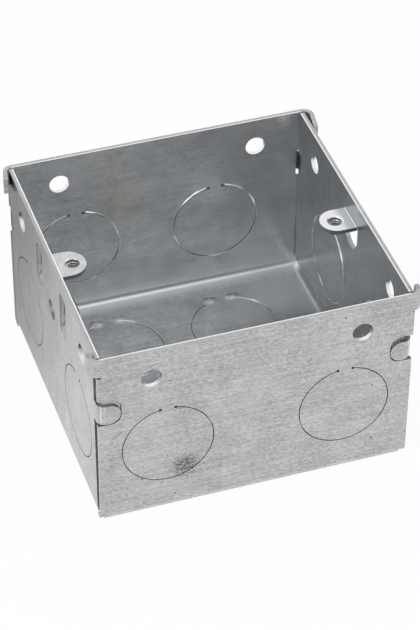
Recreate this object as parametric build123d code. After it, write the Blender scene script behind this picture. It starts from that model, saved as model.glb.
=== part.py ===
from build123d import *
import os

# A square metal back box, folded from one sheet, with one fixed and one sliding lug.
# X runs between the two lugs, Y along the lug walls, Z up from the underside of the base.
# The front and back walls are the end walls. The left and right walls are the lug walls.

# Overall sizes
box_width = 71.0            # outside, along X
box_length = 71.0           # outside, along Y
box_depth = 46.0            # underside of the base to the rim
sheet = 1.0                 # thickness of the galvanised sheet
bend_radius = 1.2           # inside radius of the folds at the base

# Corner seams: the lug walls stop short of the end walls
seam_low = 2.3              # lug wall edge behind the front wall's face, at the base
seam_high = 3.1             # the same from the tongue to the strap
rim_gap = 0.5               # air between a lug wall and the back wall, or a wall behind its strap
relief_gap = 0.15           # air between the ends of two neighbouring folds

# Rim straps: ends of the end walls, folded round outside the lug walls
strap_height = 4.3
strap_radius = 1.3          # inside radius of the strap's fold
strap_corner = 1.3          # rounding of the strap's free lower corner
strap_slit = 0.3            # slit between the strap and the wall below it

# Tongues of the lug walls, folded into notches in the front wall
tongue_drop = 12.7          # rim to the tongue's upper edge
tongue_height = 5.1
tongue_reach = 5.0          # from the box's corner to the tongue's tip
tongue_radius = 0.8         # inside radius of the tongue's fold
notch_clearance = 0.15      # below the tongue and at its tip
notch_headroom = 1.6        # open above the tongue

# Short tongues at the back wall, which only turn the corner
hook_drop = 11.9            # rim to the short tongue's upper edge
hook_height = 4.5
hook_radius = 0.3           # inside radius of its fold
hook_room_above = 0.8
hook_room_below = 2.3

# Knockouts for 20 mm conduit
knockout_diameter = 20.6
knockout_slit = 0.22
knockout_web = 3.4          # width of the bridge that holds the disc
slit_end = 0.6              # small square hole at each end of a slit
wall_knockout_z = 18.9      # centre above the underside of the base
front_knockouts = (-20.1, 20.1)
back_knockouts = (-20.0, 14.0)
left_knockouts = (-19.4, 19.4)
right_knockouts = (-20.0, 12.6)
base_knockouts_x = (-15.1, 13.1)
base_knockouts_y = 16.5     # each side of the centre line

# Plain holes near the rim of every wall
side_hole_diameter = 4.7
side_hole_spacing = 47.4
side_hole_drop = 7.3        # rim to the hole's centre

# Fixing slots in the base
fixing_spacing = 48.0
fixing_slot_length = 9.0
fixing_slot_width = 4.8

# Lugs for the accessory's screws
lug_centres = 60.3
lug_offset = 0.4            # the pair of screw holes sits this far towards the fixed lug
lug_bend_radius = 0.4
screw_hole_diameter = 2.9   # core of an M3.5 thread
screw_hole_lead = 0.55      # rounding where the hole was pushed through
collar_diameter = 4.7
collar_height = 1.2         # collar below the lug, formed by the same punch

fixed_lug_width = 7.6
fixed_lug_drop = 5.2        # rim to the top of the lug
fixed_lug_tip = 3.5         # centre of the screw hole to the lug's tip
window_gap = 0.15           # cut each side of the fixed lug
window_bottom_margin = 0.6  # longer than the lug that was cut from the window

# Sliding lug and the two bridges that hold it
sliding_lug_width = 8.4
sliding_lug_drop = 4.4
sliding_lug_tip = 3.1
slide_clearance = 0.1       # each side of the lug's plate, across the wall
plate_height = 4.3
plate_grip = 0.8            # plate left beyond a bridge at the end of the travel
lug_stop_gap = 0.1          # lug to bridge at the end of the travel
lug_rest_gap = 0.05         # the lug stands this far from the back end of its travel
bridge_spacing = 18.6
bridge_width = 4.6
bridge_rounding = 1.5       # corners of the window behind a bridge
bridge_height = 10.6
bridge_drop = 8.5           # rim to the middle of a bridge
bridge_gap = 0.25           # cut each side of a bridge
bridge_slope = 2.6          # height of the sloping end of a bridge
bridge_bend = 1.2
sight_hole_diameter = 4.8   # plain hole below the sliding lug
sight_hole_drop = 14.0      # rim to the hole's centre

# Earth terminal in the middle of the base
boss_height = 3.0
boss_top_radius = 5.0
boss_foot_radius = 7.2
earth_hole_diameter = 3.4   # core of an M4 thread
earth_collar_diameter = 5.4
earth_collar_height = 1.2
screw_clearance = 0.05
screw_head_diameter = 7.4
screw_head_height = 2.4
screw_head_taper = 0.25     # the head's top is this much narrower all round
screw_head_chamfer = 0.35
screw_length = 3.8
screw_slot_width = 1.0
screw_slot_depth = 1.1
screw_tip_chamfer = 0.4

# Places that follow from the sizes above
half_width = box_width / 2
half_length = box_length / 2
fold_radius = bend_radius + sheet
strap_bottom = box_depth - strap_height
fixed_lug_top = box_depth - fixed_lug_drop
sliding_lug_top = box_depth - sliding_lug_drop
tongue_bottom = box_depth - tongue_drop - tongue_height
hook_bottom = box_depth - hook_drop - hook_height
side_hole_z = box_depth - side_hole_drop
sight_hole_z = box_depth - sight_hole_drop
fixed_hole_x = lug_centres / 2 + lug_offset
sliding_hole_x = fixed_hole_x - lug_centres
plate_outer_x = -half_width + sheet + slide_clearance
plate_inner_x = plate_outer_x + sheet
bridge_middle_x = plate_inner_x + slide_clearance + sheet / 2
bridge_z = box_depth - bridge_drop
bridge_strip = bridge_width - 2 * bridge_gap
lug_travel = (bridge_spacing - bridge_strip - sliding_lug_width) / 2 - lug_stop_gap
lug_rest = lug_travel - lug_rest_gap
plate_length = bridge_spacing + bridge_strip + 2 * lug_travel + 2 * plate_grip
boss_top = sheet + boss_height

# Each strap: side in X, side in Y, air behind it, length of its leg, lean outwards in degrees
straps = (
    (-1, -1, 0.4, 2.0, 2.0),
    (1, -1, 0.9, 1.2, 1.0),
    (-1, 1, 0.5, 3.0, 12.0),
    (1, 1, 1.0, 5.2, -9.0),
)

end_wall = Plane(origin=(0, 0, 0), x_dir=(1, 0, 0), z_dir=(0, -1, 0))
lug_wall = Plane(origin=(0, 0, 0), x_dir=(0, 1, 0), z_dir=(1, 0, 0))
punch_depth = 3 * sheet


def folded_channel(width, depth):
    """Section of a U folded from the sheet, open at the top."""
    outside = Pos(0, depth / 2) * Rectangle(width, depth)
    outside = fillet(outside.vertices().group_by(Axis.Y)[0], fold_radius)
    inside = Pos(0, sheet + depth / 2) * Rectangle(width - 2 * sheet, depth)
    inside = fillet(inside.vertices().group_by(Axis.Y)[0], bend_radius)
    return outside - inside


def end_walls_and_base():
    """Front wall, base and back wall as one channel, full width at the folds."""
    channel = extrude(lug_wall * folded_channel(box_length, box_depth), half_width, both=True)
    flat_length = box_length - 2 * fold_radius
    for side in (-1, 1):
        trim = Box(2 * fold_radius, flat_length, 3 * sheet)
        channel -= Pos(side * half_width, 0, 0) * trim
    return channel


def lug_walls():
    """Left and right walls with their folds, stepped back from the end walls."""
    channel = extrude(end_wall * folded_channel(box_width, box_depth), half_length, both=True)
    low = half_length - max(seam_low, fold_radius + relief_gap)
    high = half_length - seam_high
    rim = half_length - sheet - rim_gap
    foot = half_length - fold_radius - relief_gap
    top = box_depth + sheet
    front = ((-rim, top), (-rim, strap_bottom), (-high, strap_bottom), (-high, tongue_bottom), (-low, -sheet))
    back = ((foot, -sheet), (foot, fold_radius), (rim, fold_radius + sheet), (rim, top))
    outline = make_face(Polyline(*front, *back, close=True))
    return channel & extrude(lug_wall * outline, box_width, both=True)


def front_notch(side):
    """Notch in the front wall, open at its cut edge, for a tongue."""
    height = tongue_height + notch_clearance + notch_headroom
    outline = Rectangle(2 * (tongue_reach + notch_clearance), height)
    outline = fillet(outline.vertices(), tongue_height / 2 - notch_clearance)
    place = Pos(side * half_width, tongue_bottom - notch_clearance + height / 2)
    return punched(end_wall, half_length, place * outline)


def back_notch(side):
    """Shallow notch in the back wall, open at its cut edge, for a short tongue."""
    height = hook_height + hook_room_above + hook_room_below
    reach = hook_radius + sheet + notch_clearance
    place = Pos(side * half_width, hook_bottom - hook_room_below + height / 2)
    return punched(end_wall, -half_length, place * Rectangle(2 * reach, height))


def turn_corner(radius, start, height):
    """Strip of a lug wall that runs from start to the back right corner and turns it."""
    wall_x = half_width - sheet / 2
    centre = (half_width - radius - sheet, half_length - radius - sheet)
    run = Line((wall_x, start), (wall_x, centre[1]))
    bend = CenterArc(centre, radius + sheet / 2, 0, 90)
    return extrude(trace(run + bend, sheet), height)


def front_tongue():
    """Tongue drawn at the back right corner: round the corner, then flush in the end wall."""
    strip = turn_corner(tongue_radius, half_length - seam_high - sheet, tongue_height)
    fold_end = half_width - tongue_radius - sheet
    tip = half_width - tongue_reach
    flat = Pos(tip + tongue_height / 2, 0) * Circle(tongue_height / 2)
    flat &= Pos(tip, 0) * Rectangle(2 * (fold_end - tip), tongue_height)
    if fold_end > tip + tongue_height / 2:
        root = fold_end - tip - tongue_height / 2
        flat += Pos(fold_end - root / 2, 0) * Rectangle(root, tongue_height)
    leaf = extrude(end_wall * Pos(0, tongue_height / 2) * flat, sheet)
    return Pos(0, 0, tongue_bottom) * (strip + Pos(0, half_length, 0) * leaf)


def back_tongue():
    """Short tongue that only turns the corner."""
    return Pos(0, 0, hook_bottom) * turn_corner(hook_radius, half_length - rim_gap - 2 * sheet, hook_height)


def strap_start(air):
    """Where a strap's fold begins, along X from the middle of the box."""
    return half_width + air - strap_radius


def strap(air, leg, lean):
    """Strap at the back right corner: round the corner, then forward along the lug wall."""
    centre = (strap_start(air), half_length - sheet - strap_radius)
    bend = CenterArc(centre, strap_radius + sheet / 2, 90, lean - 90)
    run = PolarLine(bend @ 1, leg, direction=bend % 1)
    root = Line((centre[0] - sheet, half_length - sheet / 2), bend @ 0)
    strip = extrude(trace(root + bend + run, sheet), strap_height)
    reach = strap_radius + sheet + leg
    middle = half_length + sheet / 2 - reach / 2
    profile = Pos(middle, strap_height / 2) * Rectangle(reach + sheet, strap_height)
    free_corner = profile.vertices().sort_by(Axis.Y)[:2].sort_by(Axis.X)[0]
    profile = fillet(free_corner, strap_corner)
    strip &= extrude(lug_wall * profile, 2 * box_width)
    return Pos(0, 0, strap_bottom) * strip


def at_corner(shape, side_x, side_y):
    """Copy of a back right corner feature at another corner."""
    if side_x < 0:
        shape = mirror(shape, about=Plane.YZ)
    if side_y < 0:
        shape = mirror(shape, about=Plane.XZ)
    return shape


def strap_clearing(side_x, side_y, air):
    """Cut that frees a strap's fold from the end wall."""
    start = strap_start(air)
    width = 2 * strap_radius + sheet
    height = strap_height + strap_slit
    place = Pos(side_x * (start + width / 2), side_y * half_length, box_depth - height / 2)
    return place * Box(width, 3 * sheet, height)


def knockout(x, y):
    """Slit round a knockout's disc, with a web left at the top."""
    radius = knockout_diameter / 2
    slit = Circle(radius + knockout_slit / 2) - Circle(radius - knockout_slit / 2)
    slit -= Pos(0, radius) * Rectangle(knockout_web, radius)
    rise = (radius ** 2 - (knockout_web / 2) ** 2) ** 0.5
    for side in (-1, 1):
        slit += Pos(side * knockout_web / 2, rise) * Rectangle(slit_end, slit_end)
    return Pos(x, y) * slit


def punched(plane, offset, outline):
    """Cut through one wall, whose middle lies offset from the box's centre."""
    return extrude(plane.offset(offset) * outline, punch_depth, both=True)


def wall_punches():
    """Knockouts and plain holes of the four walls."""
    walls = (
        (end_wall, half_length, front_knockouts),
        (end_wall, -half_length, back_knockouts),
        (lug_wall, -half_width, left_knockouts),
        (lug_wall, half_width, right_knockouts),
    )
    cuts = []
    for plane, offset, places in walls:
        for place in places:
            cuts.append(punched(plane, offset, knockout(place, wall_knockout_z)))
        for side in (-1, 1):
            hole = Pos(side * side_hole_spacing / 2, side_hole_z) * Circle(side_hole_diameter / 2)
            cuts.append(punched(plane, offset, hole))
    sight_hole = Pos(0, sight_hole_z) * Circle(sight_hole_diameter / 2)
    cuts.append(punched(lug_wall, -half_width, sight_hole))
    return cuts


def base_punches():
    """Knockouts and fixing slots of the base."""
    cuts = []
    for x in base_knockouts_x:
        for side in (-1, 1):
            cuts.append(punched(Plane.XY, 0, knockout(x, side * base_knockouts_y)))
    for side in (-1, 1):
        slot = Pos(side * fixing_spacing / 2, 0) * SlotOverall(fixing_slot_length, fixing_slot_width)
        cuts.append(punched(Plane.XY, 0, slot))
    return cuts


def ear(root_x, hole_x, tip, width, top):
    """Flat of a lug, from its fold at root_x to its round tip, with a pushed and tapped hole."""
    inwards = -1 if root_x > hole_x else 1
    tip_x = hole_x + inwards * tip
    round_x = tip_x - inwards * width / 2
    outline = Pos(round_x, 0) * Circle(width / 2)
    outline &= Pos((root_x + tip_x) / 2, 0) * Rectangle(abs(tip_x - root_x), width)
    outline += Pos((root_x + round_x) / 2, 0) * Rectangle(abs(round_x - root_x), width)
    flat = extrude(outline, sheet)
    flat += Pos(hole_x, 0, -collar_height / 2) * Cylinder(collar_diameter / 2, collar_height)
    flat -= Pos(hole_x, 0, 0) * Cylinder(screw_hole_diameter / 2, 4 * sheet)
    mouth = flat.edges().filter_by(GeomType.CIRCLE).group_by(Axis.Z)[-1].sort_by(SortBy.RADIUS)[0]
    flat = fillet(mouth, screw_hole_lead)
    return Pos(0, 0, top - sheet) * flat


def fold(centre_x, centre_z, width, start_angle):
    """Quarter turn of the sheet about a line along Y."""
    middle = lug_bend_radius + sheet / 2
    arc = CenterArc((centre_x, centre_z), middle, start_angle, 90)
    return extrude(end_wall * trace(arc, sheet), width / 2, both=True)


def lug_window():
    """Opening that the fixed lug was cut from, round at the bottom."""
    width = fixed_lug_width + 2 * window_gap
    fold_line = fixed_lug_top + lug_bend_radius
    lug_length = half_width - sheet - fixed_hole_x + fixed_lug_tip
    bottom = fixed_lug_top - lug_length - window_bottom_margin
    outline = Pos(0, bottom + width / 2) * Circle(width / 2)
    height = fold_line - bottom - width / 2
    outline += Pos(0, fold_line - height / 2) * Rectangle(width, height)
    return punched(lug_wall, half_width, outline)


def fixed_lug():
    """Lug folded inwards from the right wall."""
    fold_x = half_width - sheet - lug_bend_radius
    turn = fold(fold_x, fixed_lug_top + lug_bend_radius, fixed_lug_width, 270)
    return turn + ear(fold_x, fixed_hole_x, fixed_lug_tip, fixed_lug_width, fixed_lug_top)


def bridge_window(side):
    """Opening behind one bridge of the left wall."""
    outline = RectangleRounded(bridge_width, bridge_height, bridge_rounding)
    return punched(lug_wall, -half_width, Pos(side * bridge_spacing / 2, bridge_z) * outline)


def bridge(side):
    """Strip pressed inwards from the left wall, joined to it at its top and bottom."""
    wall_x = -half_width + sheet / 2
    half = bridge_height / 2
    path = FilletPolyline(
        (wall_x, bridge_z - half - sheet / 2),
        (wall_x, bridge_z - half + sheet / 5),
        (bridge_middle_x, bridge_z - half + bridge_slope),
        (bridge_middle_x, bridge_z + half - bridge_slope),
        (wall_x, bridge_z + half - sheet / 5),
        (wall_x, bridge_z + half + sheet / 2),
        radius=bridge_bend,
    )
    strip = extrude(end_wall * trace(path, sheet), bridge_strip / 2, both=True)
    return Pos(0, side * bridge_spacing / 2, 0) * strip


def earth_boss():
    """Raised seat of the earth screw, pressed up from the base and tapped."""
    slope = boss_foot_radius - boss_top_radius
    profile = Polyline(
        (0, boss_top), (boss_top_radius, boss_top), (boss_foot_radius, sheet),
        (boss_foot_radius + sheet, sheet), (boss_foot_radius + sheet, 0),
        (boss_foot_radius - sheet / 2, 0), (boss_foot_radius - sheet / 2 - slope, boss_height),
        (0, boss_height), (0, boss_top),
    )
    boss = revolve(Plane.XZ * make_face(profile), Axis.Z)
    collar_middle = boss_height - earth_collar_height / 2
    boss += Pos(0, 0, collar_middle) * Cylinder(earth_collar_diameter / 2, earth_collar_height)
    return boss - Pos(0, 0, boss_height) * Cylinder(earth_hole_diameter / 2, 6 * sheet)


def box_body():
    """The folded sheet: base, four walls, corner straps and tongues, fixed lug and bridges."""
    body = end_walls_and_base()
    for side_x, side_y, air, leg, lean in straps:
        body -= strap_clearing(side_x, side_y, air)
    for side in (-1, 1):
        body -= front_notch(side)
        body -= back_notch(side)
    body += lug_walls()
    for side in (-1, 1):
        body += at_corner(front_tongue(), side, -1)
        body += at_corner(back_tongue(), side, 1)
    for side_x, side_y, air, leg, lean in straps:
        body += at_corner(strap(air, leg, lean), side_x, side_y)
    body -= [lug_window(), bridge_window(-1), bridge_window(1)]
    body -= Cylinder(boss_foot_radius + sheet / 2, 4 * sheet)
    body += [fixed_lug(), bridge(-1), bridge(1), earth_boss()]
    body -= wall_punches()
    body -= base_punches()
    return body


def sliding_lug():
    """Plate behind the two bridges, with a lug folded inwards from its upper edge."""
    plate_middle_x = (plate_outer_x + plate_inner_x) / 2
    fold_x = plate_inner_x + lug_bend_radius
    fold_z = sliding_lug_top - sheet - lug_bend_radius
    outline = Pos(0, bridge_z) * Rectangle(plate_length, plate_height)
    outline = fillet(outline.vertices(), plate_height / 5)
    outline += Pos(0, (bridge_z + fold_z) / 2) * Rectangle(sliding_lug_width, fold_z - bridge_z)
    plate = extrude(lug_wall.offset(plate_middle_x) * outline, sheet / 2, both=True)
    turn = fold(fold_x, fold_z, sliding_lug_width, 90)
    lug = plate + turn + ear(fold_x, sliding_hole_x, sliding_lug_tip, sliding_lug_width, sliding_lug_top)
    return Pos(0, lug_rest, 0) * lug


def earth_screw():
    """Brass cheese head screw seated on the earth boss."""
    head_radius = screw_head_diameter / 2
    crown_radius = head_radius - screw_head_taper
    head = Pos(0, 0, boss_top + screw_head_height / 2) * Cone(head_radius, crown_radius, screw_head_height)
    head = chamfer(head.edges().group_by(Axis.Z)[-1], screw_head_chamfer)
    shank_radius = earth_hole_diameter / 2 - screw_clearance
    shank = Pos(0, 0, boss_top - screw_length / 2) * Cylinder(shank_radius, screw_length)
    shank = chamfer(shank.edges().group_by(Axis.Z)[0], screw_tip_chamfer)
    slot_z = boss_top + screw_head_height - screw_slot_depth / 2
    slot = Pos(0, 0, slot_z) * Box(2 * screw_head_diameter, screw_slot_width, screw_slot_depth)
    return head + shank - slot


pieces = {
    "box_body": box_body(),
    "sliding_lug": sliding_lug(),
    "earth_screw": earth_screw(),
}

os.makedirs("parts", exist_ok=True)
for name, piece in pieces.items():
    export_step(piece, f"parts/{name}.step")
    print(name, "volume", round(piece.volume, 1), "mm3")
print("lug travel", round(lug_travel, 2), "mm each way, standing at", round(lug_rest, 2))
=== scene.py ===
# %% [markdown]
# # A metal back box in zinc-coated sheet
# The object is the square box that sits in a wall behind a switch or a socket. It is one sheet
# of galvanised steel, folded up, with a second small piece that slides on its left wall. The CAD
# model already holds every fold, hole and slit, so this lesson is mostly about finish: how to make
# plain sheet metal look rolled, punched and handled, and how to add the small things that only a
# close look finds, such as screw threads and the lip along a punched line.

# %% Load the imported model
import math
from functools import reduce

import bmesh
import bpy
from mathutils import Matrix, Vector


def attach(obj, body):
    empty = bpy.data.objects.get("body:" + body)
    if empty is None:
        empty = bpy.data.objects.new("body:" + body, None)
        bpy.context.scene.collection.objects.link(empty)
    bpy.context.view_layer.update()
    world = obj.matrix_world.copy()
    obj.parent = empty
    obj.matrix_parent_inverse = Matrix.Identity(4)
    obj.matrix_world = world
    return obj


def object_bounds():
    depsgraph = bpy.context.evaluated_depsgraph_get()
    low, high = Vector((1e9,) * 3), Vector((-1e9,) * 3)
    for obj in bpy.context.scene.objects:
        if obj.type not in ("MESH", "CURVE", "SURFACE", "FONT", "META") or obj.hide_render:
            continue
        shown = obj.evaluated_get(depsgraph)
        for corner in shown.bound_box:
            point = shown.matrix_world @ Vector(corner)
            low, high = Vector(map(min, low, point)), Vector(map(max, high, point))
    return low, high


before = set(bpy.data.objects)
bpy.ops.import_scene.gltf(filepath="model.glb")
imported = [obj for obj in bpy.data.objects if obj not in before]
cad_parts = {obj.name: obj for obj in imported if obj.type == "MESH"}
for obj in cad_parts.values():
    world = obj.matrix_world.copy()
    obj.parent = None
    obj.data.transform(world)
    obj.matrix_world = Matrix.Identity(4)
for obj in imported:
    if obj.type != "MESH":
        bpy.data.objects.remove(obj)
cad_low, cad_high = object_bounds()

MM = 0.001
print("CAD box in mm:", [round(v / MM, 1) for v in cad_low], [round(v / MM, 1) for v in cad_high])

# %% [markdown]
# ## The camera
# The photograph was taken from above the front left corner with a long lens, so the walls hardly
# converge. One could turn a camera by eye until the edges fit. Here the place and the angles were
# solved from the box's corners instead, which is why the numbers are not round. The view transform
# is Standard, so a colour that is written as a grey is seen as that grey.

# %% Place the camera
CAMERA_PLACE = (-0.144168, -0.427113, 0.404220)
CAMERA_TURN = (49.6397, -0.3724, -18.4815)
LENS = 149.8

camera_data = bpy.data.cameras.new("catalogue_camera")
camera_data.lens = LENS
camera_data.sensor_width = 36.0
camera_data.clip_start = 0.01
camera = bpy.data.objects.new("catalogue_camera", camera_data)
camera.location = CAMERA_PLACE
camera.rotation_euler = [math.radians(angle) for angle in CAMERA_TURN]
bpy.context.scene.collection.objects.link(camera)
bpy.context.scene.camera = camera
bpy.context.scene.view_settings.view_transform = "Standard"
print("camera at", [round(v, 3) for v in camera.location], "with a lens of", LENS, "mm")

# %% [markdown]
# ## Sums in node trees
# A finish is mostly arithmetic: this grey, times a bit of noise, but only inside the box. Wired by
# hand, each plus or times is a Math node and a few clicks. Python can do that for us. The small
# class below stands for one output of a node, and its operators add the Math nodes. The reflected
# forms are there so that 1 - mask works as well as mask - 1. The second class is a node tree, and
# its one method makes every other node, first the settings, then the values and links.

# %% A socket that can be calculated with
class Wire:
    """One output of a node, which Python's operators can work with."""

    def __init__(self, plan, socket):
        self.plan = plan
        self.socket = socket

    def sum(self, operation, *values):
        return self.plan.node("ShaderNodeMath", {"operation": operation}, dict(enumerate(values)))

    def __add__(self, other): return self.sum("ADD", self, other)
    def __radd__(self, other): return self.sum("ADD", other, self)
    def __sub__(self, other): return self.sum("SUBTRACT", self, other)
    def __rsub__(self, other): return self.sum("SUBTRACT", other, self)
    def __mul__(self, other): return self.sum("MULTIPLY", self, other)
    def __rmul__(self, other): return self.sum("MULTIPLY", other, self)
    def __truediv__(self, other): return self.sum("DIVIDE", self, other)
    def __pow__(self, other): return self.sum("POWER", self, other)
    def __abs__(self): return self.sum("ABSOLUTE", self)
    def __gt__(self, other): return self.sum("GREATER_THAN", self, other)
    def most(self, other): return self.sum("MAXIMUM", self, other)


class Plan:
    """A node tree, and the one way in which its nodes are made."""

    def __init__(self, tree):
        self.tree = tree

    def node(self, kind, settings=None, inputs=None, output=0):
        made = self.tree.nodes.new(kind)
        for name, value in (settings or {}).items():
            setattr(made, name, value)
        for key, value in (inputs or {}).items():
            if isinstance(value, Wire):
                self.tree.links.new(value.socket, made.inputs[key])
            else:
                made.inputs[key].default_value = value
        return Wire(self, made.outputs[output]) if len(made.outputs) else made


print("Wire and Plan are ready")

# %% [markdown]
# ## Words for a finish
# A few ideas come back in every finish: fade from one value to another between two limits, blend
# two greys, ask where on the piece we are, and throw some noise at it. They are given names here,
# so that a finish reads like a maker's notes. Places are in millimetres, because that is how one
# thinks about scratches and grain.

# %% Helpers that every finish uses
def grey(level, blue=0.0):
    """A near-neutral colour, which leans to blue above zero and to yellow below it."""
    return (level * (1 - blue), level, level * (1 + blue), 1.0)


class Finish(Plan):
    """A material for one kind of surface."""

    def __init__(self, name):
        self.material = bpy.data.materials.new(name)
        self.material.use_nodes = True
        super().__init__(self.material.node_tree)
        self.shader = self.tree.nodes["Principled BSDF"]
        self.place = self.node("ShaderNodeTexCoord", output="Object")
        self.x, self.y, self.z = [axis / MM for axis in self.parts(self.place)]
        self.nx, self.ny, self.nz = self.parts(self.node("ShaderNodeTexCoord", output="Normal"))

    def parts(self, vector):
        split = self.node("ShaderNodeSeparateXYZ", inputs={"Vector": vector})
        outputs = split.socket.node.outputs
        return [Wire(self, outputs[axis]) for axis in "XYZ"]

    def join(self, x, y, z):
        return self.node("ShaderNodeCombineXYZ", inputs={"X": x, "Y": y, "Z": z})

    def fade(self, value, low, high):
        """0 where value is at low, 1 where it is at high, and smooth between."""
        limits = {"Value": value, "From Min": low, "From Max": high, "To Min": 0.0, "To Max": 1.0}
        return self.node("ShaderNodeMapRange", {"interpolation_type": "SMOOTHSTEP"}, limits)

    def between(self, value, low, high, soft):
        """1 between two limits, and 0 outside them."""
        return self.fade(value, low - soft, low) * (1 - self.fade(value, high, high + soft))

    def mix(self, mask, below, above):
        """Colour below where the mask is 0, colour above where it is 1."""
        inputs = {0: mask, 6: below, 7: above}
        return self.node("ShaderNodeMix", {"data_type": "RGBA"}, inputs, output=2)

    def noise(self, vector, scale, detail=3.0, rough=0.5):
        return self.node("ShaderNodeTexNoise", {"noise_dimensions": "3D"},
                         {"Vector": vector, "Scale": scale, "Detail": detail, "Roughness": rough})

    def spot(self, centre, radius, soft):
        """1 within a ball about a place in mm, fading out over its soft edge."""
        place = self.join(self.x, self.y, self.z)
        inputs = {0: place, 1: centre}
        gap = self.node("ShaderNodeVectorMath", {"operation": "DISTANCE"}, inputs, "Value")
        return 1 - self.fade(gap, radius, radius + soft)

    def bump(self, height, distance, strength, under=None):
        inputs = {"Height": height, "Distance": distance, "Strength": strength}
        if under:
            inputs["Normal"] = under
        return self.node("ShaderNodeBump", {}, inputs)

    def set(self, **values):
        names = {"colour": "Base Color", "metal": "Metallic",
                 "rough": "Roughness", "normal": "Normal"}
        for word, value in values.items():
            socket = self.shader.inputs[names[word]]
            if isinstance(value, Wire):
                self.tree.links.new(value.socket, socket)
            else:
                socket.default_value = value
        return self.material


print("the words for a finish are ready")

# %% [markdown]
# ## Zinc-coated sheet: where are we?
# The sheet looks different outside, inside and on its cut edges. Outside it is pale and grainy.
# Inside it is darker and bluer, which is painted shade and painted reflection. Where it was cut,
# bare steel shows. All three can be told apart by place alone: a point is on an inner face when it
# lies just inside the line of every wall, and it is on a cut edge when it lies within the sheet's
# thickness but faces along it.

# %% Masks for inside, outside and cut edges
SHEET = 1.0
HALF = round((cad_high[1] - cad_low[1]) / MM / 2, 3)
DEPTH = round(cad_high[2] / MM, 3)
INNER = HALF - SHEET


def inner_faces(f):
    """1 on the faces that the box holds inside it."""
    line = HALF - 0.4 * SHEET
    walls = (1 - f.fade(abs(f.x), line, line + 0.2)) * (1 - f.fade(abs(f.y), line, line + 0.2))
    return walls * f.fade(f.z, 0.5, 0.8)


def cut_edges(f):
    """1 where a wall or the base was cut through: slits, holes and seams."""
    in_end = f.fade(abs(f.y), INNER, INNER + 0.02) * (1 - f.fade(abs(f.ny), 0.5, 0.8))
    in_side = f.fade(abs(f.x), INNER, INNER + 0.02) * (1 - f.fade(abs(f.nx), 0.5, 0.8))
    above_fold = f.fade(f.z, 2.4, 2.6)
    corner = f.fade(abs(f.x), 33.6, 33.7) * f.fade(abs(f.y), 33.6, 33.7)
    in_base = (1 - f.fade(f.z, 0.96, 0.99)) * (1 - f.fade(abs(f.nz), 0.5, 0.8))
    flat_base = (1 - f.fade(abs(f.x), 31.0, 31.2)) * (1 - f.fade(abs(f.y), 31.0, 31.2))
    return (in_end.most(in_side) * above_fold * (1 - corner)).most(in_base * flat_base)


print("box is", 2 * HALF, "mm long and", DEPTH, "mm deep")

# %% [markdown]
# ## Zinc-coated sheet: the grain
# Galvanised steel is neither a mirror nor paint. The zinc is dull and cloudy, with a fine grain
# that the rolling has stretched. It runs along X on the strip that makes the front wall, the base
# and the back wall. The side walls are flaps folded up from that strip, so on them it stands
# upright. One noise alone would look like smoke. Four are added up instead: the fine grain, long
# lines from the rolling, small clouds and slow patches.

# %% Grain of the sheet
class ZincSheet(Finish):
    """The box's sheet: its masks and its grain, which the next cells paint with."""

    def __init__(self, name):
        super().__init__(name)
        self.inside = inner_faces(self)
        self.outside = 1 - self.inside
        self.edge = cut_edges(self)
        self.side = self.fade(abs(self.nx), 0.6, 0.8)
        self.along = self.x * (1 - self.side) + self.z * self.side
        self.across = (self.y + self.z) * (1 - self.side) + self.y * self.side
        self.grain = self.streaks(0.9, 2.4, 7.0, 5.0, 0.7)
        self.roll = self.streaks(0.06, 1.1, 3.0, 4.0, 0.6)
        clouds = self.noise(self.place, 230.0, 4.0, 0.6)
        patches = self.noise(self.place, 60.0, 2.0, 0.5)
        tone = (self.grain - 0.5) * (1.7 + 0.3 * self.outside) + (self.roll - 0.5) * 0.9
        tone = tone + (clouds - 0.5) * (0.5 + 0.7 * self.inside) + (patches - 0.5) * 0.35
        self.level = tone + 0.5

    def streaks(self, along, across, shift, detail, rough):
        """Noise that is stretched along the rolling, and differs on the side walls."""
        place = self.join(self.along * along, self.across * across, self.side * shift)
        return self.noise(place, 1.0, detail, rough)


print("the sheet's grain is ready")

# %% [markdown]
# ## Zinc-coated sheet: greys of the faces
# Outside the sheet is pale, and inside it is darker and bluer. One grey for each would be truer to
# the metal. But smooth faces mostly show what they reflect, and this plain studio is not the room
# that the picture was taken in. So each face has a grey of its own here, with painted light,
# painted shade and painted reflection in it, fitted to the picture by measuring. It is set by the
# place on the box and not by the camera, so it stays put from any side. The price is that, under
# other light, the faces look a little uneven.

# %% Greys outside
SIDE_FACE = (35.0, 35.3)


def outer_greys(f):
    """Pale zinc, with painted light on the left wall and painted shade that darkens it towards the
    back and the top.
    """
    on_left = f.fade(-1.0 * f.x, *SIDE_FACE)
    pale = f.mix(f.level, grey(0.31), grey(0.71))
    # Painted light: the left wall's zinc is made a little lighter.
    pale = f.mix(f.side * on_left, pale, f.mix(f.level, grey(0.36), grey(0.72)))
    # Painted shade: the left wall gets darker towards the back and the top.
    painted_left_shade = f.mix(f.level, grey(0.08, 0.05), grey(0.22, 0.05))
    return f.mix(on_left * f.fade(f.y * 0.8 + f.z * 0.5, -10.0, 46.0) * f.side, pale, painted_left_shade)


print("outer greys are ready")

# %% Greys inside
# The grey of painted shade on the inner faces.
PAINTED_SHADE = grey(0.25, 0.035)


def folds(f):
    """The rounds where the back wall and the side flaps were folded up, which get a painted
    highlight.
    """
    back_fold = f.fade(f.y, 29.5, 33.2) * (1 - f.fade(f.z, 2.0, 3.2))
    flap_fold = f.between(abs(f.x), 32.8, 34.6, 0.2) * (1 - f.fade(f.z, 2.4, 3.0)) * f.inside
    return back_fold, flap_fold


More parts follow.
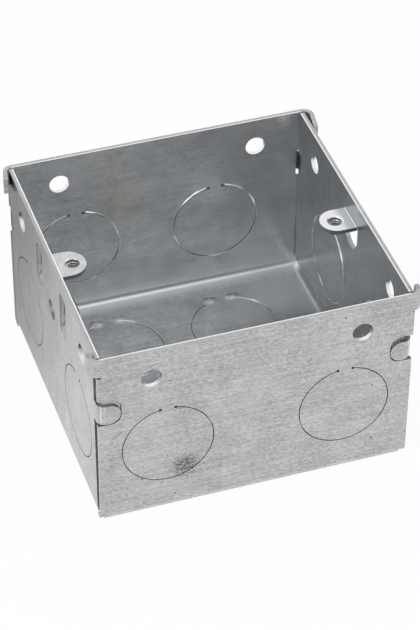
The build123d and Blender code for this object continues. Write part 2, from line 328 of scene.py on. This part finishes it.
def inner_greys(f):
    """The inner faces: painted light on the back wall and the far base, painted shade on the right
    wall, the front of the base and the back wall's right and low parts, so the back wall is the
    palest and the right wall the darkest.
    """
    dull = f.mix(f.level, grey(0.23, 0.035), grey(0.63, 0.03))
    # Painted light: the back wall, which faces the front, is made paler.
    brighter = f.mix(f.level, grey(0.62, 0.03), grey(1.0, 0.01))
    dull = f.mix(f.fade(-1.0 * f.ny, 0.5, 0.9), dull, brighter)
    # Painted shade on the right wall.
    dull = f.mix(f.fade(-1.0 * f.nx, 0.5, 0.9) * 0.45, dull, PAINTED_SHADE)
    on_base = f.fade(f.nz, 0.5, 0.9) * (1 - f.fade(f.z, 1.1, 1.3))
    far = f.fade(f.y, 10.0, 26.0)
    to_right = f.fade(f.x, 6.0, 28.0) * 0.6 + 0.17
    # Painted shade on the front part of the base.
    dull = f.mix(on_base * (1 - far) * 0.2, dull, PAINTED_SHADE)
    # Painted light on the far part of the base, strongest towards the right.
    dull = f.mix(on_base * far * to_right, dull, grey(0.95, 0.02))
    back_fold, flap_fold = folds(f)
    # Painted highlight on the fold rounds.
    dull = f.mix(back_fold.most(flap_fold * 0.06), dull, grey(0.92, 0.01))
    # Painted shade on the back wall's right part and its low part.
    right_part = f.fade(f.x + f.z * 0.3, 0.0, 44.0) * 0.42
    foot = f.between(f.z, 2.8, 10.0, 6.0) * 0.5
    return f.mix(f.fade(f.y, 34.0, 34.3) * right_part.most(foot), dull, grey(0.42, 0.03))


def lug_greys(f, colour):
    """The fixed lug, which is brighter than its wall and dark where it was cut."""
    lug = f.between(f.x, 23.5, 34.2, 0.2) * (1 - f.fade(abs(f.y), 6.0, 6.3))
    cut = 1 - f.fade(abs(f.nz), 0.3, 0.7)
    metal = f.mix(cut * 0.8, grey(0.84, 0.02), grey(0.20))
    return f.mix(lug * f.fade(f.z, 36.0, 36.5), colour, metal)


print("inner greys are ready")

# %% [markdown]
# ## Zinc-coated sheet: marks of handling
# A box in a shop has been stacked, dropped and rubbed. There are fine dark specks and dashes along
# the grain, a rubbed place on one knockout, and one short scratch. Dirt could be a picture laid
# over the sheet. Noise cut off at a threshold does the same without one, and single marks are
# small balls about a place.

# %% Marks
FRONT_SPECKS = [(19.6, 43.8), (26.6, 22.8), (27.1, 7.1), (-25.7, 2.8),
                (-26.1, 10.1), (-12.0, 10.7), (-18.6, 3.7)]
RUBBED = (-16.2, -HALF, 11.6)
SCRATCHED = (-31.4, -HALF, 24.5)


def strongest(masks):
    """The highest of several masks at each point."""
    return reduce(Wire.most, masks)


def handling_marks(f):
    speckle = f.streaks(1.3, 3.0, 5.0, 3.0, 0.75)
    crowd = f.noise(f.place, 75.0, 2.0, 0.5)
    specks = f.fade(speckle, 0.54, 0.63) * f.fade(crowd, 0.42, 0.58) * f.outside
    rubbed = f.spot(RUBBED, 1.0, 4.8)
    smudge = f.fade(speckle + rubbed * 0.14, 0.56, 0.66) * rubbed * f.outside
    off_line = abs((f.z - SCRATCHED[2]) - (f.x - SCRATCHED[0]) * 0.7)
    scratch = (1 - f.fade(off_line, 0.08, 0.22)) * f.spot(SCRATCHED, 1.2, 0.7) * f.outside
    dash = f.streaks(0.8, 3.4, 9.0, 2.0, 0.6)
    dashes = f.fade(dash, 0.60, 0.68) * f.outside * (1 - f.side * 0.5)
    dots = [f.spot((x, -HALF, z), 0.10, 0.25) * 0.75 for x, z in FRONT_SPECKS]
    return strongest([specks * 0.5, smudge * 0.9, scratch * 0.6, dashes * 0.32] + dots)


print("marks are ready,", len(FRONT_SPECKS), "of them placed one by one")

# %% [markdown]
# ## The knockouts' places
# Twelve round knockouts are punched into the box, and three things below need to know where: the
# painted highlights at the ends of the base's slits, the lips along the slits, and the swellings
# beside the webs. Their centres on the inner faces are listed once, with the turn that lays a shape
# on each wall.

# %% Knockouts
KNOCKOUT_FACING = {"base": (0, 0, 0), "front": (90, 0, 180), "back": (90, 0, 0),
                   "left": (90, 0, 90), "right": (90, 0, -90)}
KNOCKOUTS = [
    ("front", (-20.1, -INNER, 18.9)), ("front", (20.1, -INNER, 18.9)),
    ("back", (-20.0, INNER, 18.9)), ("back", (14.0, INNER, 18.9)),
    ("left", (-INNER, -19.4, 18.9)), ("left", (-INNER, 19.4, 18.9)),
    ("right", (INNER, -20.0, 18.9)), ("right", (INNER, 12.6, 18.9)),
    ("base", (-15.1, -16.5, SHEET)), ("base", (-15.1, 16.5, SHEET)),
    ("base", (13.1, -16.5, SHEET)), ("base", (13.1, 16.5, SHEET)),
]
BASE_WEB_REACH = 10.6
SLIT_END_ASIDE = 2.7


def painted_web_highlights(f):
    """1 at the ends of the base's slits, where a painted highlight lies on the swellings."""
    ends = [f.spot((x + aside, y + BASE_WEB_REACH, SHEET), 0.2, 2.2)
            for wall, (x, y, z) in KNOCKOUTS if wall == "base"
            for aside in (-SLIT_END_ASIDE, SLIT_END_ASIDE)]
    return strongest(ends) * f.inside * f.fade(f.level, 0.2, 0.9)


print(len(KNOCKOUTS), "knockouts")

# %% [markdown]
# ## Zinc-coated sheet: cut lines and the rim
# Where the sheet was cut, its edge is bare steel. In a narrow slit one sees almost none of it, so
# the slit gets near-black painted shade, with a painted glint here and there. A round hole is
# different: the lower half of its edge faces the light and gets a painted highlight, and the upper
# half gets painted shade. The faces of the corner tongues and the slots of the back corners get
# painted shade as well. The rim is mid grey with a painted highlight along its inner line, as where
# a small burr catches the light.

# %% Cut lines
def cut_lines(f, colour):
    """Holes, slits and the seams of the corners, with painted shade in the slits and on the
    tongues, painted glints, and painted highlight and shade on the holes' edges.
    """
    rim = rim_mask(f)
    seam = f.edge * f.fade(abs(f.x), INNER - 0.2, INNER) * f.fade(-1.0 * f.y, 31.8, 32.2)
    slit = f.edge * (1 - f.fade(f.z, 29.3, 29.5)) * (1 - seam)
    near_hole = f.between(abs(f.x), 21.0, 26.4, 0.1).most(f.between(abs(f.y), 21.0, 26.4, 0.1))
    hole = f.edge * near_hole * f.between(f.z, 36.0, 41.4, 0.2)
    # Painted shade on the faces of the corner tongues that face up and down.
    tongue = f.fade(abs(f.x), 30.3, 30.5) * f.fade(abs(f.y), 33.2, 33.4)
    tongue = tongue * f.fade(abs(f.nz), 0.5, 0.8) * f.between(f.z, 4.0, 45.4, 0.2)
    glint = f.fade(f.noise(f.place, 95.0, 1.0, 0.4), 0.54, 0.62)
    colour = f.mix(f.edge * (1 - rim) * (1 - hole) * 0.3, colour, grey(0.22))
    # Painted highlight on the lower half of a round hole's edge, and painted shade on its upper
    # half.
    colour = f.mix(hole, colour, f.mix(f.fade(f.nz, -0.1, 0.4), grey(0.14), grey(0.88)))
    colour = f.mix(seam * 0.8, colour, grey(0.20))
    colour = f.mix(tongue * 0.85, colour, grey(0.10))
    # Near-black painted shade in the slits, with painted glints.
    return f.mix(slit * 0.9, colour, f.mix(glint, grey(0.03), grey(0.45)))


def rim_mask(f):
    return f.fade(f.z, DEPTH - 0.12, DEPTH - 0.06) * f.fade(f.nz, 0.6, 0.9)


def rim_lines(f, colour):
    """The rim with a painted highlight on its inner line, and painted shade in the slots of the
    back corners.
    """
    rim = rim_mask(f)
    off_line = abs(abs(f.x).most(abs(f.y)) - INNER)
    # A painted highlight along the rim's inner line.
    rim_highlight = 1 - f.fade(off_line, 0.18, 0.34)
    colour = f.mix(rim * rim_highlight, f.mix(rim * 0.6, colour, grey(0.46)), grey(0.95))
    # Near-black painted shade in the slots of the back corners.
    slot = f.fade(f.y, 32.0, 32.8) * f.between(f.z, 29.5, 34.2, 0.15)
    return f.mix(slot * f.fade(abs(f.x), 34.0, 34.2) * 0.9, colour, grey(0.02))


print("cut lines and rim are ready")

# %% [markdown]
# ## Zinc-coated sheet: put together
# The greys come first, then the wear, and last the cut lines, which stay sharp on top of both.
# Roughness follows the same masks. The inside is smoother than the outside, so it mirrors the
# folds and the lugs, and gentle dips bend those reflections as real sheet does.

# %% The sheet's finish
def zinc_sheet(name):
    f = ZincSheet(name)
    dirt = handling_marks(f)
    web_highlight = painted_web_highlights(f)
    back_fold, flap_fold = folds(f)
    colour = lug_greys(f, f.mix(f.inside, outer_greys(f), inner_greys(f)))
    colour = f.mix(dirt, colour, grey(0.09))
    # A painted highlight on the swellings at the base's webs.
    colour = f.mix(web_highlight * 0.8, colour, grey(0.90))
    colour = rim_lines(f, cut_lines(f, colour))
    rough = 0.17 + f.outside * 0.20 + f.grain * 0.10 + dirt * 0.2 + f.edge * 0.15
    rough = rough + flap_fold.most(back_fold) * 0.16 + web_highlight * 0.08
    dips = f.bump(f.noise(f.place, 42.0, 1.0, 0.4), 0.0008, 0.22)
    fine = f.grain * 0.7 + f.roll * 0.3
    normal = f.bump(fine, 0.00005, f.inside * 0.3 + 0.30, under=dips)
    return f.set(colour=colour, metal=0.92 - f.inside * 0.18, rough=rough, normal=normal)


sheet_finish = zinc_sheet("galvanised_sheet")
print("sheet finish has", len(sheet_finish.node_tree.nodes), "nodes")

# %% [markdown]
# ## The lugs and the screw
# The sliding lug is a separate pressing in brighter plate, lightly brushed across. The earth screw
# is brass. Turning leaves rings about its axis, so its grain is made from the distance to that axis
# and not from a straight coordinate.

# %% Finishes of the small pieces
def bright_plate(name):
    f = Finish(name)
    grain = f.noise(f.join(f.x * 3.0, f.y * 0.5, f.z * 1.5), 1.0, 3.0, 0.6)
    clouds = f.noise(f.place, 700.0, 3.0, 0.6)
    level = f.fade(grain * 0.5 + clouds * 0.5, 0.35, 0.65)
    colour = f.mix(level, grey(0.56, 0.02), grey(0.72, 0.02))
    # Faces that don't face up get a darker grey: painted shade on the underside, and the same grey
    # on the cut edges.
    under = 1 - f.fade(f.nz, 0.3, 0.7)
    colour = f.mix(under * 0.55, colour, grey(0.22))
    normal = f.bump(grain, 0.00003, 0.3)
    return f.set(colour=colour, metal=0.92, rough=0.28 + clouds * 0.16, normal=normal)


def turned_brass(name):
    f = Finish(name)
    radius = (f.x * f.x + f.y * f.y) ** 0.5
    rings = f.noise(f.join(radius * 9.0, f.z * 9.0, 0.0), 1.0, 2.0, 0.5)
    stain = f.noise(f.place, 450.0, 3.0, 0.6)
    colour = f.mix(f.fade(stain, 0.35, 0.7), (0.52, 0.38, 0.18, 1.0), (0.70, 0.54, 0.30, 1.0))
    normal = f.bump(rings, 0.00003, 0.5)
    return f.set(colour=colour, metal=1.0, rough=0.24 + stain * 0.14, normal=normal)


def raw_thread(name):
    f = Finish(name)
    stain = f.noise(f.place, 900.0, 3.0, 0.6)
    level = f.fade(stain, 0.35, 0.65)
    colour = f.mix(level, (0.36, 0.35, 0.33, 1.0), (0.80, 0.79, 0.76, 1.0))
    normal = f.bump(stain, 0.00002, 0.4)
    return f.set(colour=colour, metal=0.95, rough=0.22 + stain * 0.2, normal=normal)


def punched_lip(name):
    f = Finish(name)
    wear = f.noise(f.place, 320.0, 3.0, 0.6)
    level = f.fade(wear, 0.42, 0.58)
    colour = f.mix(level, grey(0.62), grey(0.97))
    normal = f.bump(wear, 0.00002, 0.4)
    return f.set(colour=colour, metal=0.85, rough=0.30 + wear * 0.15, normal=normal)


lug_finish = bright_plate("galvanised_lug")
brass_finish = turned_brass("brass_screw")
thread_finish = raw_thread("cut_thread")
lip_finish = punched_lip("punched_lip")
NODE_FINISH = {"box_body": sheet_finish, "sliding_lug": lug_finish, "earth_screw": brass_finish}
for node, finish in NODE_FINISH.items():
    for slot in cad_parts[node].material_slots:
        slot.material = finish
print("finished nodes:", ", ".join(NODE_FINISH))

# %% [markdown]
# ## A workshop for repeated shapes
# Threads and punched lips are all a small section carried along a curve, which is what Geometry
# Nodes do well. Each tree below has named inputs for its sizes. The helper gives a tree its inputs
# and its output, puts it on a mesh as a modifier, sets the inputs by their identifiers, and then
# turns the result into a plain mesh, because the model that leaves here holds no live modifiers.

# %% Helpers for Geometry Nodes
def shape_plan(name, sizes):
    """A geometry tree with one input for each size, and the wires that carry them."""
    tree = bpy.data.node_groups.new(name, "GeometryNodeTree")
    face = tree.interface
    face.new_socket("Geometry", in_out="INPUT", socket_type="NodeSocketGeometry")
    for size in sizes:
        face.new_socket(size, in_out="INPUT", socket_type="NodeSocketFloat")
    face.new_socket("Geometry", in_out="OUTPUT", socket_type="NodeSocketGeometry")
    plan = Plan(tree)
    entry = tree.nodes.new("NodeGroupInput")
    return plan, {socket.name: Wire(plan, socket) for socket in entry.outputs if socket.name}


def finish_shape(plan, geometry, material):
    """End a tree with real geometry in one material."""
    real = plan.node("GeometryNodeRealizeInstances", {}, {"Geometry": geometry})
    painted = plan.node("GeometryNodeSetMaterial", inputs={"Geometry": real, "Material": material})
    plan.node("NodeGroupOutput", inputs={"Geometry": painted})


def make_piece(name, plan, sizes, mesh, material):
    """Run a tree once over a mesh and keep the result as a plain piece."""
    holder = bpy.data.objects.new(name + "_holder", mesh)
    bpy.context.scene.collection.objects.link(holder)
    modifier = holder.modifiers.new("shape", "NODES")
    modifier.node_group = plan.tree
    for item in plan.tree.interface.items_tree:
        if item.in_out == "INPUT" and item.name in sizes:
            modifier[item.identifier] = float(sizes[item.name])
    graph = bpy.context.evaluated_depsgraph_get()
    made = bpy.data.meshes.new_from_object(holder.evaluated_get(graph))
    bpy.data.objects.remove(holder)
    shell = bmesh.new()
    shell.from_mesh(made)
    bmesh.ops.remove_doubles(shell, verts=shell.verts, dist=1e-6)
    bmesh.ops.recalc_face_normals(shell, faces=shell.faces)
    open_edges = sum(1 for edge in shell.edges if not edge.is_manifold)
    shell.to_mesh(made)
    shell.free()
    made.materials.clear()
    made.materials.append(material)
    piece = bpy.data.objects.new(name, made)
    bpy.context.scene.collection.objects.link(piece)
    triangles = sum(len(face.vertices) - 2 for face in made.polygons)
    print(name, "has", triangles, "triangles and", open_edges, "open edges")
    return piece


def place_list(name, places, turns):
    """A mesh of loose points, each with the turn that its copy of the shape gets."""
    points = bpy.data.meshes.new(name)
    points.from_pydata([[value * MM for value in place] for place in places], [], [])
    turn = points.attributes.new("turn", "FLOAT_VECTOR", "POINT")
    for number, angles in enumerate(turns):
        turn.data[number].vector = [math.radians(angle) for angle in angles]
    return points


def copies_of(plan, points, shape):
    """A copy of a shape at each point, turned as the point's attribute says."""
    turn = plan.node("GeometryNodeInputNamedAttribute", {"data_type": "FLOAT_VECTOR"},
                     {"Name": "turn"})
    copies = plan.node("GeometryNodeInstanceOnPoints", {},
                       {"Points": points, "Instance": shape, "Rotation": turn})
    return plan.node("GeometryNodeRealizeInstances", {}, {"Geometry": copies})


print("workshop is ready")

# %% [markdown]
# ## Screw threads
# Both lugs are tapped for a 3.5 mm screw, and the earth screw carries a 4 mm thread. A thread could
# be painted on as rings, but from above one looks into the lugs' holes and sees the turns catch the
# light. So each is a real helix: a spiral curve with a small three-sided section. The section is
# made first and moved so that its base sinks into the wall it grows from and its crest points to
# the axis, or away from it for the screw.

# %% Thread tree
THREAD_SIZES = ["Wall Radius", "Crest Radius", "Pitch", "Turns", "X", "Y", "Low End"]
ROUND = 40


def thread_plan(name, material):
    plan, size = shape_plan(name, THREAD_SIZES)
    spiral = plan.node("GeometryNodeCurveSpiral", {}, {
        "Resolution": ROUND, "Rotations": size["Turns"], "Start Radius": size["Wall Radius"],
        "End Radius": size["Wall Radius"], "Height": size["Pitch"] * size["Turns"]})
    upright = plan.node("GeometryNodeSetCurveNormal", {"mode": "Z_UP"}, {"Curve": spiral})
    depth = size["Crest Radius"] - size["Wall Radius"]
    base, crest, sunk = size["Pitch"] * 0.36, size["Pitch"] * 0.10, depth * -0.3
    corners = [(sunk, base * -1.0), (depth, crest * -1.0), (depth, crest), (sunk, base)]
    points = {}
    for number, (across, up) in enumerate(corners, 1):
        corner = plan.node("ShaderNodeCombineXYZ", {}, {"X": across * -1.0, "Y": up})
        points[f"Point {number}"] = corner
    section = plan.node("GeometryNodeCurvePrimitiveQuadrilateral", {"mode": "POINTS"}, points)
    swept = plan.node("GeometryNodeCurveToMesh", {},
                      {"Curve": upright, "Profile Curve": section, "Fill Caps": True})
    place = plan.node("ShaderNodeCombineXYZ", {},
                      {"X": size["X"], "Y": size["Y"], "Z": size["Low End"]})
    placed = plan.node("GeometryNodeTransform", {}, {"Geometry": swept, "Translation": place})
    finish_shape(plan, placed, material)
    return plan


# %% Three threads
def add_thread(name, body, material, wall, crest, pitch, turns, place):
    """A thread on a body. All but its turns is in mm."""
    sizes = dict(zip(THREAD_SIZES, [wall, crest, pitch, turns, *place]))
    sizes = {size: value if size == "Turns" else value * MM for size, value in sizes.items()}
    empty = bpy.data.meshes.new(name)
    piece = make_piece(name, thread_plan(name, material), sizes, empty, material)
    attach(piece, body)
    x, y = place[0] * MM, place[1] * MM
    reach = [math.hypot(v.co.x - x, v.co.y - y) / MM for v in piece.data.vertices]
    print(name, "radii", round(min(reach), 2), "to", round(max(reach), 2), "mm")


add_thread("fixed_lug_thread", "box", thread_finish,
           wall=1.45, crest=1.22, pitch=0.6, turns=2.4, place=(30.55, 0, 38.7))
add_thread("sliding_lug_thread", "lug", thread_finish,
           wall=1.45, crest=1.22, pitch=0.6, turns=2.4, place=(-29.75, 2.9, 39.5))
add_thread("earth_screw_thread", "box", brass_finish,
           wall=1.65, crest=1.98, pitch=0.5, turns=2.4, place=(0, 0, 0.38))

# %% [markdown]
# ## Lips along the punched lines
# A knockout is punched almost free and left hanging on a short web. The punch drags the zinc and
# leaves a fine raised lip beside the slit, bright in one place and worn away in the next. A bright
# line could be painted on the sheet, but it would not glint from other sides. So the lip is a thin
# arc, copied to all twelve knockouts, and noise makes it swell and shrink along its way.

# %% Lip tree
def lip_plan(material):
    plan, size = shape_plan("punched_lip", ["Slit Radius", "Web Angle", "Lip Radius", "Seed"])
    arc = plan.node("GeometryNodeCurveArc", {"mode": "RADIUS"}, {
        "Resolution": 120, "Radius": size["Slit Radius"],
        "Start Angle": size["Web Angle"] * 0.5 + math.pi / 2,
        "Sweep Angle": 2 * math.pi - size["Web Angle"]})
    arcs = copies_of(plan, size["Geometry"], arc)
    place = plan.node("GeometryNodeInputPosition")
    wave = plan.node("ShaderNodeTexNoise", {"noise_dimensions": "4D"},
                     {"Vector": place, "W": size["Seed"], "Scale": 170.0, "Detail": 2.0})
    from_web = abs(plan.node("GeometryNodeSplineParameter") * 2.0 - 1.0) ** 6.0
    swell = (wave * 6.0 - 2.3).most(0.15) + from_web * 0.7
    section = plan.node("GeometryNodeCurvePrimitiveCircle", {"mode": "RADIUS"},
                        {"Resolution": 6, "Radius": size["Lip Radius"]})
    lips = plan.node("GeometryNodeCurveToMesh", {},
                     {"Curve": arcs, "Profile Curve": section, "Scale": swell, "Fill Caps": True})
    finish_shape(plan, lips, material)
    return plan


# %% Twelve lips
places = place_list("knockout_places", [place for wall, place in KNOCKOUTS],
                    [KNOCKOUT_FACING[wall] for wall, place in KNOCKOUTS])
lip_sizes = {"Slit Radius": 10.46 * MM, "Web Angle": math.radians(25),
             "Lip Radius": 0.16 * MM, "Seed": 4.0}
lips = make_piece("knockout_lips", lip_plan(lip_finish), lip_sizes, places, lip_finish)
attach(lips, "box")

# %% [markdown]
# ## Swellings beside the webs
# Where a slit stops, the punch has pushed the sheet up on both sides of the web. On the base these
# swellings are large enough to catch the light. A flattened ball would meet the sheet in a hard
# step. Here each point of a ball is lowered instead, by a rule that is flat at the rim, so that the
# swelling runs out into the sheet.

# %% Swelling tree
def swelling_plan(material):
    plan, size = shape_plan("web_swelling", ["Length", "Width", "Height"])
    ball = plan.node("GeometryNodeMeshUVSphere", {}, {"Segments": 32, "Rings": 24, "Radius": 1.0})
    place = plan.node("GeometryNodeInputPosition")
    split = plan.node("ShaderNodeSeparateXYZ", {}, {"Vector": place})
    x, y, z = [Wire(plan, split.socket.node.outputs[axis]) for axis in "XYZ"]
    crown = (1 - (x * x + y * y)).most(0.0) ** 2.0
    above = z > 0.001
    height = (above * crown + (1 - above) * z * 0.5) * size["Height"]
    spread = plan.node("ShaderNodeCombineXYZ", {}, {
        "X": x * size["Length"] * 0.5, "Y": y * size["Width"] * 0.5, "Z": height})
    dome = plan.node("GeometryNodeSetPosition", {}, {"Geometry": ball, "Position": spread})
    finish_shape(plan, copies_of(plan, size["Geometry"], dome), material)
    return plan


# %% Swellings on the base and the walls
def add_swellings(name, walls, material, apart, reach, length, width, height):
    """Two swellings for each knockout in some walls, one on each side of its web."""
    spots, turns = [], []
    for wall, (x, y, z) in KNOCKOUTS:
        if wall in walls:
            along_y = wall in ("left", "right")
            up_y, up_z = (reach, 0) if wall == "base" else (0, reach)
            for aside in (-apart, apart):
                step_x, step_y = (0, aside) if along_y else (aside, 0)
                spots.append((x + step_x, y + step_y + up_y, z + up_z))
                turns.append(KNOCKOUT_FACING[wall])
    sizes = {"Length": length * MM, "Width": width * MM, "Height": height * MM}
    points = place_list(name, spots, turns)
    piece = make_piece(name, swelling_plan(material), sizes, points, material)
    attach(piece, "box")


add_swellings("base_web_swellings", ["base"], sheet_finish,
              apart=2.9, reach=BASE_WEB_REACH, length=4.4, width=3.0, height=0.30)
add_swellings("wall_web_swellings", ["front", "back", "left", "right"], sheet_finish,
              apart=2.2, reach=9.4, length=1.5, width=1.0, height=0.14)

# %% [markdown]
# ## The studio's floor
# A catalogue picture has a white ground and soft light from all round. The ground could be made
# white by flooding it with light, but that would bleach the object too. Instead the floor and the
# world show themselves as white to the camera and to reflections, while the light that they give
# stays plain. A part of the floor's white is left to the lamps, so that the box keeps a shadow.
# Under the box there is none of it, or the fixing slots would shine like windows. There the floor
# lets light through, and from below the camera looks through all of it. No real floor does that,
# but without it the underside could not be looked at.

# %% Floor
FLOOR_HALF = 2.0
FLOOR_DROP = 0.00005
FLOOR_SHARE = 0.93


def seen(plan):
    """1 for what the camera, a reflection or a see-through surface looks at directly."""
    path = plan.node("ShaderNodeLightPath").socket.node.outputs
    names = ("Is Camera Ray", "Is Glossy Ray", "Is Transmission Ray")
    return strongest([Wire(plan, path[name]) for name in names])


def floor_surface(plan):
    """White paper that glows a little, and is open under the box and from below."""
    paper = plan.node("ShaderNodeBsdfDiffuse", inputs={"Color": grey(0.9)})
    glow = plan.node("ShaderNodeEmission", inputs={"Color": grey(1.0), "Strength": 1.0})
    clear = plan.node("ShaderNodeBsdfTransparent", inputs={"Color": grey(1.0)})
    place = plan.node("ShaderNodeTexCoord", output="Object")
    axes = plan.node("ShaderNodeSeparateXYZ", inputs={"Vector": place}).socket.node.outputs
    off_centre = abs(Wire(plan, axes["X"])).most(abs(Wire(plan, axes["Y"])))
    beside_box = off_centre > (HALF - 1) * MM
    white = seen(plan) * beside_box * FLOOR_SHARE
    shown = plan.node("ShaderNodeMixShader", inputs={0: white, 1: paper, 2: glow})
    from_below = plan.node("ShaderNodeNewGeometry", output="Backfacing")
    light_only = 1 - plan.node("ShaderNodeLightPath", output="Is Camera Ray")
    open_share = from_below.most(light_only * (1 - beside_box))
    return plan.node("ShaderNodeMixShader", inputs={0: open_share, 1: shown, 2: clear})


floor_mesh = bpy.data.meshes.new("studio_floor")
corners = [(x * FLOOR_HALF, y * FLOOR_HALF, -FLOOR_DROP)
           for x, y in ((-1, -1), (1, -1), (1, 1), (-1, 1))]
floor_mesh.from_pydata(corners, [], [(0, 1, 2, 3)])
floor = bpy.data.objects.new("studio_floor", floor_mesh)
bpy.context.scene.collection.objects.link(floor)
floor_finish = bpy.data.materials.new("studio_floor")
floor_finish.use_nodes = True
plan = Plan(floor_finish.node_tree)
plan.tree.nodes.clear()
plan.node("ShaderNodeOutputMaterial", inputs={"Surface": floor_surface(plan)})
floor_mesh.materials.append(floor_finish)
print("the floor is", 2 * FLOOR_HALF, "m wide")

# %% [markdown]
# ## The studio's light
# The world is a white room that lights the box evenly. On its own it would make the sheet look
# flat, so two large soft lamps are added, a strong one at the left and a weak one at the right.
# The strong one stands well away from where the inside walls would mirror it into the camera.

# %% World
WORLD_LIGHT = 0.75
world = bpy.data.worlds.new("studio_world")
bpy.context.scene.world = world
world.use_nodes = True
plan = Plan(world.node_tree)
plan.tree.nodes.clear()
visible = seen(plan)
strength = visible + WORLD_LIGHT * (1 - visible)
sky = plan.node("ShaderNodeBackground", inputs={"Color": grey(1.0), "Strength": strength})
plan.node("ShaderNodeOutputWorld", inputs={"Surface": sky})
print("the world gives", WORLD_LIGHT, "of the light that it shows")


# %% Lamps
LAMP_SIZE = 0.5
LAMP_AIM = (0, 0, 0.02)


def lamp(name, place, power):
    """A square soft lamp that points at the box."""
    light = bpy.data.lights.new(name, "AREA")
    light.size = LAMP_SIZE
    light.energy = power
    made = bpy.data.objects.new(name, light)
    made.location = place
    away = made.location - type(made.location)(LAMP_AIM)
    made.rotation_euler = away.to_track_quat("Z", "Y").to_euler()
    bpy.context.scene.collection.objects.link(made)
    print(name, "gives", power, "W")


lamp("key_lamp", (-0.9, -0.35, 0.6), 5.0)
lamp("fill_lamp", (0.8, -0.3, 0.6), 1.5)
